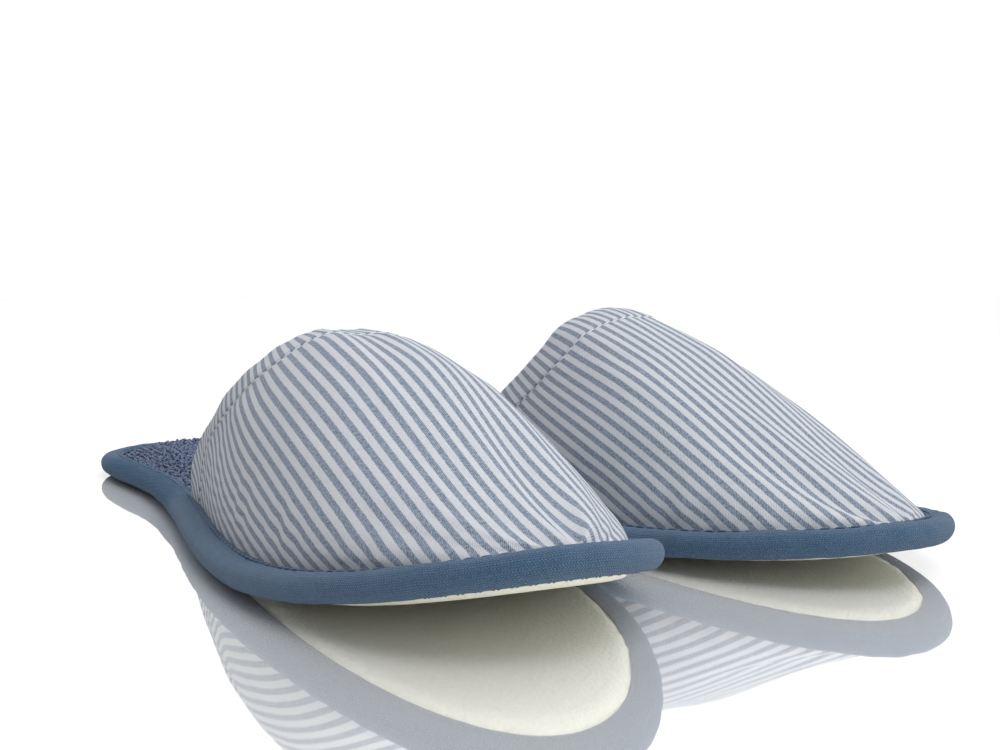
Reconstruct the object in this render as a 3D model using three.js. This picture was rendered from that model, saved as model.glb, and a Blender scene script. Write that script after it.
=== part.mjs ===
// A pair of closed-toe spa slippers, built up layer by layer the way they are sewn.
// Units are millimetres, +Z is up, and both toes point roughly along -Y.
//
// One slipper is drawn in its own plan: "along" runs from the heel end to the toe, "across" is
// the distance from its middle line. A station pairs a point on the outer edge with the point
// of the middle line that lies straight in from it, so every layer is a section profile that is
// carried from station to station.
import * as THREE from "three";
import { mergeVertices } from "three/addons/utils/BufferGeometryUtils.js";

const { clamp, lerp, smoothstep, degToRad } = THREE.MathUtils;

// Plan of one slipper, to the outside of its binding tape.
const slipperLength = 277;
const heelRadius = 31.5;
const waistAlong = 78;
const waistHalfWidth = 28.5;
const ballAlong = 201;
const ballHalfWidth = 41;

// How far the toe end curls up from the floor, and where along the sole the curl starts.
const toeSpring = { right: 14.4, left: 7.5 };
const toeSpringStart = 178;
const toeSpringPower = 2.2;

// Binding tape: a U folded round the edge of the sole and stitched through both legs.
const tapeThickness = 0.8;
const tapeLegReach = 7;
const tapeAboveFloor = 1;

// Sole layers, from the floor up.
const outsoleThickness = 1.5;
const foamThickness = 2.8;
const spongeThickness = 1.5;
const terryThickness = 1.6;
const edgeLayerThickness = 0.9;
const outsoleBulgeWidth = 6;
const insoleRiseWidth = 8;

// Upper: striped fabric over wadding over a lining, and a folded band along its opening.
const fabricThickness = 0.6;
const waddingThickness = 1.2;
const liningThickness = 0.5;
const marginThickness = 0.5;
const bandWidth = 14;
const foldCorner = 0.5;
const openingCornerAlong = 116;
const openingCrestAlong = 165.5;
const openingRoundness = 2.5;
const crestHeightAtOpening = 54;
const crestHeightAtToe = 12;
const crestFallPower = 1.22;
const archFullness = 2.12;

// Sewing thread, the clearance between neighbouring layers, and the clearance along the
// slipper between edges that lean as the opening does.
const threadDiameter = 0.6;
const threadInset = 5.2;
const layerGap = 0.3;
const leaningGap = 0.8;

// How the pair stands: the distance between the two heel ends, and the turn of each toe.
const heelSpacing = 64;
const leftHeelSetBack = 10.5;
const toeOutDegrees = 2.7;

// Fineness of the faceted surfaces.
const heelArcSteps = 4;
const flankSteps = 8;
const upperFlankSteps = 5;
const toeArcSteps = 6;
const archSteps = 6;
const tapeArcSteps = 3;

// Heights in the bound edge, stacked from the tape's lower leg to its upper leg.
const outsoleEdgeUnderside = tapeAboveFloor + tapeThickness + layerGap;
const terryEdgeUnderside = outsoleEdgeUnderside + edgeLayerThickness + layerGap;
const liningMarginUnderside = terryEdgeUnderside + edgeLayerThickness + layerGap;
const liningMarginTop = liningMarginUnderside + marginThickness;
const fabricMarginUnderside = liningMarginTop + layerGap;
const fabricMarginTop = fabricMarginUnderside + marginThickness;
const tapeTop = fabricMarginTop + layerGap + tapeThickness;
const tapeRadius = (tapeTop - tapeAboveFloor) / 2;

// Insets from the outer edge, and depths into the upper from its outer face.
const edgeInset = tapeRadius + layerGap;
const wallInset = tapeLegReach + layerGap;
const fabricSetIn = bandWidth + leaningGap;
const waddingSetIn = fabricThickness + leaningGap;
const waddingDepth = fabricThickness + layerGap;
const liningDepth = waddingDepth + waddingThickness + layerGap;
const bandInnerDepth = liningDepth + liningThickness + layerGap;
const bandDepth = bandInnerDepth + fabricThickness;
const bulgeEnd = wallInset + outsoleBulgeWidth;
const riseStart = wallInset + liningDepth + liningThickness + layerGap;
const riseEnd = riseStart + insoleRiseWidth;

// Heights of the sole layers away from the bound edge.
const foamUnderside = outsoleThickness + layerGap;
const spongeUnderside = foamUnderside + foamThickness + layerGap;
const terryUnderside = spongeUnderside + spongeThickness + layerGap;

// ---------------------------------------------------------------- plan of one slipper

function flankHalfWidth(along) {
  const narrowing = smoothstep(along, heelRadius, waistAlong);
  const widening = smoothstep(along, waistAlong, ballAlong);
  return heelRadius + (waistHalfWidth - heelRadius) * narrowing + (ballHalfWidth - waistHalfWidth) * widening;
}

function soleStation(along, across) {
  const middle = clamp(along, heelRadius, ballAlong);
  return { edge: new THREE.Vector2(along, across), middle: new THREE.Vector2(middle, 0) };
}

function heelStations() {
  const stations = [];
  for (let step = 0; step < heelArcSteps; step++) {
    const angle = (step / heelArcSteps) * (Math.PI / 2);
    stations.push(soleStation(heelRadius * (1 - Math.cos(angle)), heelRadius * Math.sin(angle)));
  }
  return stations;
}

function flankStations(from, steps) {
  const stations = [];
  for (let step = 0; step < steps; step++) {
    const along = lerp(from, ballAlong, step / steps);
    stations.push(soleStation(along, flankHalfWidth(along)));
  }
  return stations;
}

function toeStations() {
  const stations = [];
  for (let step = 0; step <= toeArcSteps; step++) {
    const angle = (step / toeArcSteps) * (Math.PI / 2);
    const along = ballAlong + (slipperLength - ballAlong) * Math.sin(angle);
    stations.push(soleStation(along, step === toeArcSteps ? 0 : ballHalfWidth * Math.cos(angle)));
  }
  return stations;
}

function mirrored({ edge, middle, crest }) {
  return { edge: new THREE.Vector2(edge.x, -edge.y), middle, crest };
}

// All the way round the sole, from the heel end by one side to the toe and back by the other.
function stationsRoundSole() {
  const side = [...heelStations(), ...flankStations(heelRadius, flankSteps), ...toeStations()];
  return [...side, ...side.slice(1, -1).reverse().map(mirrored)];
}

// Round the toe only, from one corner of the opening to the other, starting "setIn" from the
// opening's edge. Every layer has the same stations from the end of the fabric on, so that
// they nest. A station's crest is where its arch meets the middle line.
function stationsRoundUpper(setIn) {
  const side = [...flankStations(openingCornerAlong + fabricSetIn, upperFlankSteps), ...toeStations()];
  if (setIn < fabricSetIn) side.unshift(stationByOpening(setIn));
  for (const station of side) {
    station.crest = new THREE.Vector2(crestAlong(station.edge.x), 0);
  }
  return [...side, ...side.slice(0, -1).reverse().map(mirrored)];
}

function stationByOpening(setIn) {
  const along = openingCornerAlong + setIn;
  return soleStation(along, flankHalfWidth(along));
}

// The opening leans, so its crest lies further towards the toe than its corners do. The lean
// is the same over the width of the band and fades out from there to the ball.
function crestAlong(along) {
  const setIn = along - openingCornerAlong;
  if (setIn < fabricSetIn) return openingCrestAlong + setIn;
  const share = (setIn - fabricSetIn) / (ballAlong - openingCornerAlong - fabricSetIn);
  return lerp(openingCrestAlong + fabricSetIn, ballAlong, clamp(share, 0, 1));
}

function inwards(station, inset) {
  const reach = station.edge.distanceTo(station.middle);
  return station.edge.clone().lerp(station.middle, Math.min(inset / reach, 1));
}

// ---------------------------------------------------------------- heights

function toeLift(along, side) {
  const share = clamp((along - toeSpringStart) / (slipperLength - toeSpringStart), 0, 1);
  return toeSpring[side] * share ** toeSpringPower;
}

// The crest is level under the band and falls from there to the toe.
function crestHeight(along) {
  const levelTo = openingCrestAlong + fabricSetIn;
  const share = clamp((along - levelTo) / (slipperLength - levelTo), 0, 1);
  return lerp(crestHeightAtOpening, crestHeightAtToe, share ** crestFallPower);
}

function outsoleUndersideAt(inset) {
  return lerp(outsoleEdgeUnderside, 0, clamp((inset - wallInset) / outsoleBulgeWidth, 0, 1));
}

function outsoleTopAt(inset) {
  const share = clamp((inset - wallInset) / outsoleBulgeWidth, 0, 1);
  return outsoleUndersideAt(inset) + lerp(edgeLayerThickness, outsoleThickness, share);
}

function riseShare(inset) {
  return clamp((inset - riseStart) / insoleRiseWidth, 0, 1);
}

function terryUndersideAt(inset) {
  return lerp(terryEdgeUnderside, terryUnderside, riseShare(inset));
}

function terryTopAt(inset) {
  return terryUndersideAt(inset) + lerp(edgeLayerThickness, terryThickness, riseShare(inset));
}

function spongeTopAt(inset) {
  return terryUndersideAt(inset) - layerGap;
}

function spongeUndersideAt(inset) {
  return spongeTopAt(inset) - spongeThickness;
}

function foamTopAt(inset) {
  return spongeUndersideAt(inset) - layerGap;
}

// A point of the slipper: heel end at the origin, toe along -Y, curled up with the toe spring.
function place(plan, height, side) {
  return new THREE.Vector3(plan.y, -plan.x, height + toeLift(plan.x, side));
}

// A point of the arched upper. "turn" runs from 0 at the crest to a right angle at the foot
// of the wall, "depth" is measured in from the upper's outer face, and "foot" is the height
// at which the wall stands.
function archPoint(station, depth, turn, foot, side) {
  const across = Math.sin(turn) ** (2 / archFullness);
  const up = turn === Math.PI / 2 ? 0 : Math.cos(turn) ** (2 / archFullness);
  const base = inwards(station, wallInset + depth);
  const along = lerp(station.crest.x, base.x, across ** openingRoundness);
  const plan = new THREE.Vector2(along, lerp(station.crest.y, base.y, across));
  return place(plan, lerp(foot, crestHeight(plan.x) - depth, up), side);
}

// ---------------------------------------------------------------- solids

function signedVolume(positions, faces) {
  const corner = (index) => new THREE.Vector3().fromBufferAttribute(positions, index);
  let sum = 0;
  for (let face = 0; face < faces.length; face += 3) {
    const [a, b, c] = [corner(faces[face]), corner(faces[face + 1]), corner(faces[face + 2])];
    sum += a.dot(b.cross(c));
  }
  return sum;
}

function isSecondHalf(point, count) {
  return point >= count / 2;
}

// One closed solid from equal section loops. "ring" joins the last section to the first;
// otherwise both ends are capped, flattened as "capOutline" says. The loop edge that starts at
// "openEdge" gets no faces, because there the two sides of the slipper meet each other. Where
// the loop "runsBack" over a sheet, its faces are split along the same diagonal as on the
// sheet's other side, so that neighbouring sheets nest.
function solidFromSections(sections, { ring, openEdge, capOutline, runsBack = isSecondHalf }) {
  const count = sections[0].length;
  const faces = [];
  const at = (section, point) => (section % sections.length) * count + (point % count);
  for (let section = 0; section < sections.length - (ring ? 0 : 1); section++) {
    for (let point = 0; point < count; point++) {
      if (point === openEdge) continue;
      const [a, b] = [at(section, point), at(section, point + 1)];
      const [c, d] = [at(section + 1, point + 1), at(section + 1, point)];
      faces.push(...(runsBack(point, count) ? [[a, b, d], [b, c, d]] : [[a, b, c], [a, c, d]]));
    }
  }
  if (!ring) {
    const lastSection = sections.length - 1;
    const turned = THREE.ShapeUtils.isClockWise(capOutline);
    for (const cap of THREE.ShapeUtils.triangulateShape(capOutline, [])) {
      const [a, b, c] = turned ? cap.reverse() : cap;
      faces.push([a, c, b], [at(lastSection, a), at(lastSection, b), at(lastSection, c)]);
    }
  }
  return closedGeometry(sections.flat(), faces.flat());
}

// Merges shared corners, drops faces that have collapsed, and turns the faces outwards.
function closedGeometry(points, faces) {
  const loose = new THREE.BufferGeometry().setFromPoints(points).setIndex(faces);
  const merged = mergeVertices(loose, 1e-3);
  const index = Array.from(merged.index.array);
  const kept = [];
  for (let face = 0; face < index.length; face += 3) {
    const [a, b, c] = index.slice(face, face + 3);
    if (a !== b && b !== c && c !== a) kept.push(a, b, c);
  }
  if (signedVolume(merged.attributes.position, kept) < 0) kept.reverse();
  merged.setIndex(kept);
  merged.computeVertexNormals();
  return merged;
}

// A sheet of the sole: its underside and top are functions of the inset from the outer edge,
// with corners at the given insets. Past the insole's rise every layer is flat across, and all
// have the same corners there, so that they nest where the toe curls up.
function soleLayer(insets, undersideAt, topAt, side) {
  const sections = stationsRoundSole().map((station) => {
    const faceAt = (heightAt) => {
      const shoulder = inwards(station, riseEnd);
      const halfway = shoulder.clone().lerp(station.middle, 0.5);
      const outer = insets.map((inset) => place(inwards(station, inset), heightAt(inset), side));
      const flat = [shoulder, halfway, station.middle].map((plan) => place(plan, heightAt(riseEnd), side));
      return [...outer, ...flat];
    };
    return [...faceAt(undersideAt), ...faceAt(topAt).reverse()];
  });
  return solidFromSections(sections, { ring: true, openEdge: sections[0].length / 2 - 1 });
}

// A closed profile of (inset, height) points carried all the way round the sole.
function edgeRing(profile, side) {
  const sections = stationsRoundSole().map((station) =>
    profile.map(({ x: inset, y: height }) => place(inwards(station, inset), height, side)),
  );
  return solidFromSections(sections, { ring: true });
}

function archTurns() {
  return Array.from({ length: archSteps + 1 }, (_, step) => (1 - step / archSteps) * (Math.PI / 2));
}

// A sheet of the upper between two depths. The feet of its faces stand at two heights, and a
// margin, if it has one, runs outwards from them into the bound edge.
function upperLayer({ setIn, outerDepth, innerDepth, outerFoot, innerFoot, hasMargin }, side) {
  const turns = archTurns();
  const sections = stationsRoundUpper(setIn).map((station) => {
    const outer = turns.map((turn) => archPoint(station, outerDepth, turn, outerFoot, side));
    const inner = turns.map((turn) => archPoint(station, innerDepth, turn, innerFoot, side));
    if (hasMargin) {
      outer.unshift(place(inwards(station, edgeInset), outerFoot, side));
      inner.unshift(place(inwards(station, edgeInset), innerFoot, side));
    }
    return [...outer, ...inner.reverse()];
  });
  const capOutline = sections[0].map(({ x, z }) => new THREE.Vector2(x, z));
  return solidFromSections(sections, { openEdge: sections[0].length / 2 - 1, capOutline });
}

// A closed profile of (set-in, depth) points carried over the arch of the opening, with both
// ends standing at the height "foot".
function openingStrip(profile, foot, side) {
  const turns = archTurns();
  const overNearHalf = turns.map((turn) => ({ turn, mirror: false }));
  const overFarHalf = turns.slice(0, -1).reverse().map((turn) => ({ turn, mirror: true }));
  const sections = [...overNearHalf, ...overFarHalf].map(({ turn, mirror }) =>
    profile.map(({ x: setIn, y: depth }) => {
      const [nearest] = stationsRoundUpper(setIn);
      const station = mirror ? mirrored(nearest) : nearest;
      return archPoint(station, depth, turn, foot, side);
    }),
  );
  const runsBack = (point) => profile[(point + 1) % profile.length].x < profile[point].x;
  return solidFromSections(sections, { capOutline: profile, runsBack });
}

function arcPoints(centre, radius, fromDegrees, toDegrees, steps) {
  return Array.from({ length: steps + 1 }, (_, step) => {
    const angle = degToRad(lerp(fromDegrees, toDegrees, step / steps));
    return new THREE.Vector2(centre.x + radius * Math.cos(angle), centre.y + radius * Math.sin(angle));
  });
}

function threadProfile(centreX, centreY) {
  const centre = new THREE.Vector2(centreX, centreY);
  return arcPoints(centre, threadDiameter / 2, 0, 270, 3);
}

// ---------------------------------------------------------------- materials

function soft(colour, roughness) {
  return new THREE.MeshStandardMaterial({ color: colour, roughness, metalness: 0 });
}

const creamOutsole = () => soft(0xe3e2d0, 0.85);
const paleFoam = () => soft(0xf1f0ea, 0.9);
const blueTerry = () => soft(0x56647c, 1);
const blueTape = () => soft(0x47637f, 0.9);
const stripedCotton = () => soft(0xacb2b9, 0.9);
const whiteCotton = () => soft(0xe6e8e8, 0.9);
const blueThread = () => soft(0x3f5a76, 0.7);
const whiteThread = () => soft(0xe9ebec, 0.7);

// ---------------------------------------------------------------- pieces of one slipper

function outsole(side) {
  return soleLayer([edgeInset, wallInset, bulgeEnd], outsoleUndersideAt, outsoleTopAt, side);
}

function midsoleFoam(side) {
  const foamUndersideAt = (inset) => outsoleTopAt(inset) + layerGap;
  return soleLayer([bulgeEnd + layerGap], foamUndersideAt, foamTopAt, side);
}

function insoleSponge(side) {
  return soleLayer([bulgeEnd], spongeUndersideAt, spongeTopAt, side);
}

function terryInsole(side) {
  return soleLayer([edgeInset, riseStart], terryUndersideAt, terryTopAt, side);
}

function bindingTape(side) {
  const centre = new THREE.Vector2(tapeRadius, tapeAboveFloor + tapeRadius);
  const outer = arcPoints(centre, tapeRadius, 270, 90, tapeArcSteps);
  const inner = arcPoints(centre, tapeRadius - tapeThickness, 90, 270, tapeArcSteps);
  const profile = [
    new THREE.Vector2(tapeLegReach, tapeAboveFloor),
    ...outer,
    new THREE.Vector2(tapeLegReach, tapeTop),
    new THREE.Vector2(tapeLegReach, tapeTop - tapeThickness),
    ...inner,
    new THREE.Vector2(tapeLegReach, tapeAboveFloor + tapeThickness),
  ];
  return edgeRing(profile, side);
}

function needleThread(side) {
  return edgeRing(threadProfile(threadInset, tapeTop + layerGap / 2 + threadDiameter / 2), side);
}

function bobbinThread(side) {
  return edgeRing(threadProfile(threadInset, tapeAboveFloor - layerGap / 2 - threadDiameter / 2), side);
}

function upperFabric(side) {
  const layer = {
    setIn: fabricSetIn,
    outerDepth: 0,
    innerDepth: fabricThickness,
    outerFoot: fabricMarginTop,
    innerFoot: fabricMarginUnderside,
    hasMargin: true,
  };
  return upperLayer(layer, side);
}

function upperWadding(side) {
  const layer = {
    setIn: waddingSetIn,
    outerDepth: waddingDepth,
    innerDepth: waddingDepth + waddingThickness,
    outerFoot: fabricMarginUnderside,
    innerFoot: fabricMarginUnderside,
    hasMargin: false,
  };
  return upperLayer(layer, side);
}

function upperLining(side) {
  const layer = {
    setIn: waddingSetIn,
    outerDepth: liningDepth,
    innerDepth: liningDepth + liningThickness,
    outerFoot: liningMarginTop,
    innerFoot: liningMarginUnderside,
    hasMargin: true,
  };
  return upperLayer(layer, side);
}

// The band is folded over the raw edges of the upper: one leg outside, one leg inside.
function openingBand(side) {
  const profile = [
    [bandWidth, 0],
    [foldCorner, 0],
    [0, foldCorner],
    [0, bandDepth - foldCorner],
    [foldCorner, bandDepth],
    [bandWidth, bandDepth],
    [bandWidth, bandInnerDepth],
    [fabricThickness, bandInnerDepth],
    [fabricThickness, fabricThickness],
    [bandWidth, fabricThickness],
  ];
  const points = profile.map(([setIn, depth]) => new THREE.Vector2(setIn, depth));
  return openingStrip(points, fabricMarginUnderside, side);
}

function bandThread(side) {
  const clear = threadDiameter / 2 + layerGap / 2;
  return openingStrip(threadProfile(bandWidth - 2 * threadDiameter, -clear), tapeTop + layerGap, side);
}

function slipper(side) {
  const pieces = {
    outsole: [outsole, creamOutsole],
    midsole_foam: [midsoleFoam, paleFoam],
    insole_sponge: [insoleSponge, paleFoam],
    terry_insole: [terryInsole, blueTerry],
    binding_tape: [bindingTape, blueTape],
    binding_needle_thread: [needleThread, blueThread],
    binding_bobbin_thread: [bobbinThread, blueThread],
    upper_fabric: [upperFabric, stripedCotton],
    upper_wadding: [upperWadding, paleFoam],
    upper_lining: [upperLining, whiteCotton],
    opening_band: [openingBand, stripedCotton],
    band_thread: [bandThread, whiteThread],
  };
  const group = new THREE.Group();
  for (const [name, [shape, material]] of Object.entries(pieces)) {
    const mesh = new THREE.Mesh(shape(side), material());
    mesh.name = `${side}_${name}`;
    group.add(mesh);
  }
  return group;
}

// ---------------------------------------------------------------- the pair

const right = slipper("right");
right.position.set(-heelSpacing / 2, 0, 0);
right.rotation.z = degToRad(-toeOutDegrees);

const left = slipper("left");
left.position.set(heelSpacing / 2, leftHeelSetBack, 0);
left.rotation.z = degToRad(toeOutDegrees);

// The pair's origin is the middle of its footprint, on the floor.
const pair = new THREE.Group();
pair.add(right, left);
const middle = new THREE.Box3().setFromObject(pair, true).getCenter(new THREE.Vector3());
pair.position.set(-middle.x, -middle.y, 0);

export default pair;
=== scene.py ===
"""The looks of a pair of spa slippers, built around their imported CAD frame.

One slipper is drawn in its own plan, in millimetres: "along" runs from the heel end to the toe
and "across" is the distance from its middle line. placed() carries such points into the shared
frame, in metres. A skin is a grid of points with a UV map in millimetres of cloth. Terry loops
and stitches are tubes.
"""
import math

import bmesh
import bpy
import numpy as np
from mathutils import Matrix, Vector

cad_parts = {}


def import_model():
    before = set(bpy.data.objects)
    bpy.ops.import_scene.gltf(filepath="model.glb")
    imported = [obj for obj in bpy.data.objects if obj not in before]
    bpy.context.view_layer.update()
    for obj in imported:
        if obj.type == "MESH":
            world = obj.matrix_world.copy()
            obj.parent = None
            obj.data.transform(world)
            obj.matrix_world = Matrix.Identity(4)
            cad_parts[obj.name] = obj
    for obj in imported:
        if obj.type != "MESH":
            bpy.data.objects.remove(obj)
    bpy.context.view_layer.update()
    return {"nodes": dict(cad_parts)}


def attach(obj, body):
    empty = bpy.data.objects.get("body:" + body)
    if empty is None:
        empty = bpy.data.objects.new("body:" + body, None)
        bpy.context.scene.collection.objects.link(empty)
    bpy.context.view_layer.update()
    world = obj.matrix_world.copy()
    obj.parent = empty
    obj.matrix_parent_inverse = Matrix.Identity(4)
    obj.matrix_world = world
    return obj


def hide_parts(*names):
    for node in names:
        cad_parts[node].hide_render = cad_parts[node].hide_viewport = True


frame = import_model()

MM = 0.001
SIDES = ("right", "left")
TURN_DEGREES = {"right": -2.7, "left": 2.7}

# Plan and sole, as the CAD part has them.
LENGTH = 277.0
HEEL_RADIUS = 31.5
WAIST_ALONG, WAIST_HALF_WIDTH = 78.0, 28.5
BALL_ALONG, BALL_HALF_WIDTH = 201.0, 41.0
TOE_SPRING = {"right": 14.4, "left": 7.5}
TOE_SPRING_START, TOE_SPRING_POWER = 178.0, 2.2
MIDDLE_INSET = 90  # further in than any middle line, so a point with it lies on that line

# Binding tape. A section's points are (inset from the sole's edge, height or drop).
TAPE_LOW, TAPE_TOP, TAPE_LEG, TAPE_THICKNESS, TAPE_WIDTH = 1.0, 6.9, 7.0, 0.8, 24
TAPE_RADIUS = (TAPE_TOP - TAPE_LOW) / 2
TAPE_LIP, TAPE_UNDER_EDGE_INSET = 0.1, TAPE_LEG - 0.2
TAPE_UNDER_LEG = ((TAPE_LEG - 0.4, TAPE_LOW), (5.4, TAPE_LOW), (4.0, TAPE_LOW))
TAPE_UPPER_LEG_DROPS = (
    (3.7, 0.0), (4.5, 0.05), (5.1, 0.2), (5.6, 0.3), (6.1, 0.2), (6.6, 0.05), (6.9, 0.15),
    (7.0, 0.4), (6.9, TAPE_THICKNESS),
)
TAPE_STATIONS = 2000

# Ripples of the tape: where they come and go along the slipper, how deep they are, and over
# which part of the section they show.
RUFFLED_FROM, RUFFLED_TO = (25, 50), (100, 125)
RIPPLE_PITCH, RIPPLE_OUT, RIPPLE_UP = 2.4, 0.48, 0.38
RIPPLE_SLANT, RIPPLE_DRIFT, DRIFT_WAVELENGTH = 0.4, 0.5, 25
SLOW_WAVELENGTH, SLOW_UP = 28, 0.1
QUICK_WAVELENGTH, QUICK_OUT, QUICK_UP = 6, 0.07, 0.05
SEEN_OVER, UNSEEN_SHARE = (3, 17), 0.2
DRIFT_SEED, SLOW_SEED, QUICK_SEED = 8, 3, 4

# Stitches of the tape.
STITCH_INSET, STITCH_LENGTH, STITCH_GAP, THREAD_RADIUS = 5.6, 2.6, 0.5, 0.28
STITCH_RISE = (-0.3, 0.05, 0.1, 0.1, 0.05, -0.3)
NEEDLE_HEIGHT, BOBBIN_HEIGHT = TAPE_TOP - 0.15, TAPE_LOW + 0.2

# Outsole: an edge under the tape, a bulge down to the flat underside, and a hidden top.
OUTSOLE_STATIONS = 700
EDGE_UNDERSIDE, BULGE_START, BULGE_WIDTH, BULGE_POWER = 1.9, TAPE_LEG - 0.2, 5, 3
OUTSOLE_EDGE = ((TAPE_RADIUS + 0.3, 2.6), (TAPE_RADIUS + 0.6, 2.1), (TAPE_LEG - 0.4, EDGE_UNDERSIDE))
OUTSOLE_FLAT_INSETS = (16, 20, 26, 34, 45, 60, MIDDLE_INSET)
OUTSOLE_TOP = ((MIDDLE_INSET, 1.5), (30, 1.5), (14, 1.5), (8, 2.9), (TAPE_RADIUS + 0.4, 2.9))
LUMPS_FROM, LUMPS_TO, LUMP_HEIGHT = (6.0, 7.5), (9.5, 11.5), 0.28
LUMP_WAVELENGTH, FINE_LUMP_WAVELENGTH, FINE_LUMP_SHARE = 7, 2.6, 0.7
LUMP_SEED, FINE_LUMP_SEED = 5, 6

# Terry insole and its loops.
TERRY_STATIONS, TERRY_EDGE_INSET, TERRY_EDGE_TO = 420, 4.5, 16
TERRY_EDGE_HEIGHT, TERRY_RISE, TERRY_RISE_INSETS = 5.4, 2.9, (8.0, 18.5)
TERRY_INNER_INSETS = (19, 23, 28, 34, 42, 52, 64, MIDDLE_INSET)
TERRY_UNDERSIDE = ((MIDDLE_INSET, 6.8), (18.8, 6.8), (10.8, 3.6), (TERRY_EDGE_INSET, 3.6))
LOOP_SPACING, LOOP_HEIGHT, LOOP_WIRE = 1.4, 1.3, 0.27
LOOPS_FROM_ALONG, LOOPS_TO_ALONG, LOOPS_ACROSS = 7.0, 215.0, 45.0
LOOP_ROOM, LOOP_END_ROOM, UPPER_ROOM, UPPER_ROOM_BLEND = 7.4, 7.2, 3.6, 4
LOOP_SCATTER, LOOP_LEAN, LOOP_TALLNESS = 0.5, 0.5, (0.7, 1.15)
LOOP_REACH, LOOP_SUNK = 0.55, 0.25

# Upper and its opening. The two uppers are soft and stand a little differently, so the crest,
# the opening's edge and the squareness of the arch at the opening are set for each of them.
ARCH_FULLNESS, WALL_FOOT = 2.12, 5.6
UPPER_SHAPE = {
    "right": {"corner_along": 116.0, "crest_along": 160.0, "opening_roundness": 3.7,
              "crest": 51.8, "crest_at_toe": 9.5, "fall_power": 1.4, "level_reach": 18.0,
              "wall_inset": 6.6, "bulge": 0.8, "squareness": -0.05},
    "left": {"corner_along": 134.0, "crest_along": 164.3, "opening_roundness": 4.2,
             "crest": 55.2, "crest_at_toe": 9.5, "fall_power": 1.3, "level_reach": 5.6,
             "wall_inset": 6.6, "bulge": -0.4, "squareness": -0.3},
}
TOE_ROUNDNESS, TOE_GAP = 1.6, 0.3
OPENING_REACH, BULGE_FROM_SHARE = 45, 0.4
COLUMNS, COLUMN_POWER, ROW_POWER = 121, 2 / 2.4, 1.15
PANEL_ROWS, CLOTH_ROWS, LINING_ROWS = 60, 170, 70
CLOTH_UNDER_BAND, LINING_SET_IN, LINING_DEPTH = 1.5, 2.0, 3.1

# Wrinkles of the upper. The spans are shares of the way from the crest to the wall's foot,
# or distances from the opening's edge.
WRINKLE_SEED = {"right": 11, "left": 23}
ARCH_SPAN = 70
FOOT_SPAN, CORNER_SPAN, HELD_SPAN = (0.86, 0.995), (0.6, 0.95), (0.985, 1.0)
TUCKS_FADE, CREASE_FADE = (3, 34), (0, 34)
CREASE_HEIGHT, CREASE_SHARE, CREASE_SPREAD = 0.8, 0.43, 0.09
HELD_FOLD_SHARE, FREE_FOLD_WIDTH = 0.3, 12

# Opening band. Its edge points are (distance from its sewn edge, depth under the upper's face).
BAND_WIDTH, BAND_DEPTH, BAND_PROUD = 14.0, 3.6, 0.4
BAND_EDGE = ((0.0, 0.1), (0.15, -BAND_PROUD * 0.7), (0.8, -BAND_PROUD))
BAND_FACE_START = 2.5
BAND_STITCH_LENGTH, BAND_STITCH_GAP, BAND_THREAD_RADIUS = 2.1, 0.5, 0.16
BAND_STITCH_BEYOND, BAND_STITCH_PROUD, BAND_LINE_POINTS = 0.25, 0.05, 2400

# Cloth.
STRIPE_PERIOD, STRIPE_WANDER = 2.8, 0.11
TWILL_PITCH, WEFT_PITCH = 0.5, 0.32
HERRINGBONE_RIB, HERRINGBONE_THREAD, HERRINGBONE_WEFT = 0.7, 0.55, 0.45
LINING_PITCH = 0.7

# How finely the skins and tubes are divided.
RIM_ARC_STEPS, RIM_FLANK_STEPS, PERIMETER_STATIONS, PLAN_STATIONS = 400, 800, 400, 600
BULGE_STEPS, TERRY_EDGE_STEPS, TAPE_TURN_STEPS = 9, 12, 17
BAND_FACE_STEPS, BAND_FOLD_STEPS, BAND_INNER_STEPS = 9, 9, 8
LOOP_POINTS, LOOP_CORNERS = 6, 4
STITCH_LINE_STATIONS, STITCH_CORNERS = 4000, 6
BAND_STITCH_POINTS, BAND_STITCH_CORNERS = 5, 5

# A tube's ends have this share of its radius. Where the upward share of its direction is more
# than STEEP, its section is set out from the x axis and not from the vertical.
TUBE_CAP_SHARE, STEEP = 0.35, 0.9

# Points closer and edges shorter than these are merged, in millimetres.
MERGE_DISTANCE, SHORTEST_EDGE = 0.02, 0.005

# The way to the middle line counts as this much at least, so that nothing is divided by zero.
SMALLEST_REACH = 1e-6

# Noise: how many waves are added up, and how far their lengths differ from the one asked for.
WAVE_COUNT, WAVE_RANGE = 14, (0.7, 1.5)

# Every material has the same soft highlight.
SHEEN_ROUGHNESS, SPECULAR_LEVEL = 0.6, 0.25

# Stage. Places are in metres.
FLOOR_SIZE, FLOOR_WHITE, FLOOR_MIRROR_SHARE, FLOOR_MIRROR_ROUGHNESS = 6, 0.99, 0.75, 0.03
WORLD_DIM_SIDE, WORLD_BRIGHT_SIDE = (-0.95, 0.3), (-0.25, 1.02)
LAMP_AIM = (0, 0, 0.02)
CAMERA_SENSOR, CAMERA_LENS = 36.0, 48.3
CAMERA_FROM_HEEL, CAMERA_HEIGHT = (-0.1357, -0.4575), 0.0656
CAMERA_DOWN, CAMERA_HEADING = 4.44, -30.13

random = np.random.default_rng(7)


# ---------------------------------------------------------------- plan of one slipper

def smoothstep(value, start, end):
    share = np.clip((value - start) / (end - start), 0, 1)
    return share * share * (3 - 2 * share)


def fade(value, start, end):
    return 1 - smoothstep(value, start, end)


def distance_along(points):
    """How far each point of a line lies from its start, measured along the line."""
    steps = np.linalg.norm(np.diff(points, axis=0), axis=1)
    return np.concatenate([[0], np.cumsum(steps)])


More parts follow.
